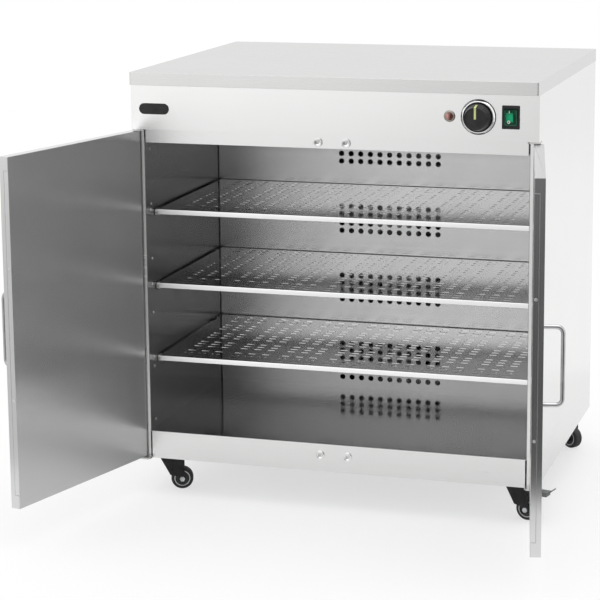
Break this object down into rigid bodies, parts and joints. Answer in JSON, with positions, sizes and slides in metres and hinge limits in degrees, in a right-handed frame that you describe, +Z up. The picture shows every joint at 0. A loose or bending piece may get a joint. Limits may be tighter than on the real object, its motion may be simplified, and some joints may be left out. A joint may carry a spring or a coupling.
{
  "type": "plate warmer cabinet",
  "caption": "Mobile heated plate cabinet with two hinged doors, slotted pull-out shelves, a thermostat, a lit switch and swivel castors.",
  "frame": {"origin": "middle of the base of the whole part's box, at floor level, with the doors open as stored", "axes": "+Z up, the doors and controls face -Y, +X to the right as seen from the front"},
  "size_m": [0.981, 0.9578, 0.8],
  "materials": {
    "worktop_steel": "fine brushed stainless steel",
    "casing_steel": "brushed stainless steel sheet",
    "liner_steel": "smooth rolled stainless steel",
    "shelf_steel": "smooth stainless steel, slightly reflective",
    "door_steel": "brushed stainless steel sheet",
    "galvanised": "zinc-plated steel",
    "hinge_steel": "plain steel",
    "chrome": "polished chrome plate",
    "black_plastic": "black moulded plastic",
    "rocker_green": "translucent green plastic",
    "lamp_amber": "translucent amber-red plastic",
    "motor_paint": "grey paint",
    "element_steel": "heat-darkened sheath",
    "castor_black": "black powder coat",
    "tyre_rubber": "black rubber",
    "hub_grey": "light grey nylon",
    "pedal_grey": "zinc-plated steel"
  },
  "bodies": {
    "cabinet": {"worktop": "worktop_steel", "control_panel": "casing_steel", "side_panel_left": "casing_steel", "side_panel_right": "casing_steel", "back_panel": "casing_steel", "base_tray": "galvanised", "stile_left": "casing_steel", "stile_right": "casing_steel", "top_rail": "casing_steel", "floor_deck": "casing_steel", "liner_left": "liner_steel", "liner_right": "liner_steel", "liner_ceiling": "liner_steel", "liner_back": "liner_steel", "shelf_clips": "chrome", "hinge_plates": "hinge_steel", "magnet_catches": "chrome", "thermostat_bezel": "chrome", "thermostat_body": "black_plastic", "lamp_bezel": "chrome", "lamp_lens": "lamp_amber", "switch_housing": "black_plastic", "heating_element": "element_steel", "fan_bracket": "galvanised", "fan_motor": "motor_paint", "cable_gland": "black_plastic", "castor_plates": "galvanised"},
    "door_left": {"door_left_outer_pan": "door_steel", "door_left_inner_pan": "door_steel", "door_left_handle": "chrome", "door_left_bushes": "black_plastic"},
    "door_right": {"door_right_outer_pan": "door_steel", "door_right_inner_pan": "door_steel", "door_right_handle": "chrome", "door_right_bushes": "black_plastic"},
    "shelf_lower": {"shelf_lower": "shelf_steel"},
    "shelf_middle": {"shelf_middle": "shelf_steel"},
    "shelf_upper": {"shelf_upper": "shelf_steel"},
    "thermostat_knob": {"thermostat_knob": "black_plastic", "thermostat_spindle": "hinge_steel"},
    "switch_rocker": {"switch_rocker": "rocker_green"},
    "fan_impeller": {"fan_impeller": "galvanised"},
    "castor_front_left": {"castor_fork_front_left": "castor_black"},
    "wheel_front_left": {"castor_tyre_front_left": "tyre_rubber", "castor_hub_front_left": "hub_grey"},
    "castor_front_right": {"castor_fork_front_right": "castor_black"},
    "wheel_front_right": {"castor_tyre_front_right": "tyre_rubber", "castor_hub_front_right": "hub_grey"},
    "castor_back_left": {"castor_fork_back_left": "castor_black"},
    "wheel_back_left": {"castor_tyre_back_left": "tyre_rubber", "castor_hub_back_left": "hub_grey"},
    "castor_back_right": {"castor_fork_back_right": "castor_black"},
    "wheel_back_right": {"castor_tyre_back_right": "tyre_rubber", "castor_hub_back_right": "hub_grey"},
    "brake_front_right": {"castor_brake_front_right": "pedal_grey"},
    "brake_back_left": {"castor_brake_back_left": "pedal_grey"}
  },
  "joints": [
    {"name": "door_left_hinge", "type": "hinge", "parent": "cabinet", "child": "door_left", "pos_m": [-0.35807, -0.11715, 0.077], "axis": [0, 0, -1], "range_deg": [-105, 1]},
    {"name": "door_right_hinge", "type": "hinge", "parent": "cabinet", "child": "door_right", "pos_m": [0.37993, -0.11715, 0.077], "axis": [0, 0, 1], "range_deg": [-101, 5]},
    {"name": "shelf_lower_slide", "type": "slide", "parent": "cabinet", "child": "shelf_lower", "axis": [0, -1, 0], "range_m": [0, 0.15]},
    {"name": "shelf_middle_slide", "type": "slide", "parent": "cabinet", "child": "shelf_middle", "axis": [0, -1, 0], "range_m": [0, 0.15]},
    {"name": "shelf_upper_slide", "type": "slide", "parent": "cabinet", "child": "shelf_upper", "axis": [0, -1, 0], "range_m": [0, 0.15]},
    {"name": "thermostat_turn", "type": "hinge", "parent": "cabinet", "child": "thermostat_knob", "pos_m": [0.27893, -0.12315, 0.737], "axis": [0, 1, 0], "range_deg": [0, 270]},
    {"name": "switch_rock", "type": "hinge", "parent": "cabinet", "child": "switch_rocker", "pos_m": [0.33593, -0.12065, 0.737], "axis": [-1, 0, 0], "range_deg": [0, 12]},
    {"name": "fan_spin", "type": "hinge", "parent": "cabinet", "child": "fan_impeller", "pos_m": [0.01093, 0.34365, 0.398], "axis": [0, 1, 0], "continuous": true},
    {"name": "castor_front_left_swivel", "type": "hinge", "parent": "cabinet", "child": "castor_front_left", "pos_m": [-0.32307, -0.05715, 0.0674], "axis": [0, 0, 1], "continuous": true},
    {"name": "wheel_front_left_roll", "type": "hinge", "parent": "castor_front_left", "child": "wheel_front_left", "pos_m": [-0.30616, -0.05099, 0.021], "axis": [-0.342, 0.9397, 0], "continuous": true},
    {"name": "castor_front_right_swivel", "type": "hinge", "parent": "cabinet", "child": "castor_front_right", "pos_m": [0.34493, -0.05715, 0.0674], "axis": [0, 0, 1], "continuous": true},
    {"name": "wheel_front_right_roll", "type": "hinge", "parent": "castor_front_right", "child": "wheel_front_right", "pos_m": [0.36247, -0.0612, 0.021], "axis": [0.225, 0.9744, 0], "continuous": true},
    {"name": "brake_front_right_press", "type": "hinge", "parent": "castor_front_right", "child": "brake_front_right", "pos_m": [0.36315, -0.06136, 0.047], "axis": [0.225, 0.9744, 0], "range_deg": [0, 12]},
    {"name": "castor_back_left_swivel", "type": "hinge", "parent": "cabinet", "child": "castor_back_left", "pos_m": [-0.32307, 0.42185, 0.0674], "axis": [0, 0, 1], "continuous": true},
    {"name": "wheel_back_left_roll", "type": "hinge", "parent": "castor_back_left", "child": "wheel_back_left", "pos_m": [-0.33866, 0.43085, 0.021], "axis": [-0.5, -0.866, 0], "continuous": true},
    {"name": "brake_back_left_press", "type": "hinge", "parent": "castor_back_left", "child": "brake_back_left", "pos_m": [-0.33926, 0.4312, 0.047], "axis": [-0.5, -0.866, 0], "range_deg": [0, 12]},
    {"name": "castor_back_right_swivel", "type": "hinge", "parent": "cabinet", "child": "castor_back_right", "pos_m": [0.34493, 0.42185, 0.0674], "axis": [0, 0, 1], "continuous": true},
    {"name": "wheel_back_right_roll", "type": "hinge", "parent": "castor_back_right", "child": "wheel_back_right", "pos_m": [0.35968, 0.41153, 0.021], "axis": [0.5736, 0.8192, 0], "continuous": true}
  ]
}
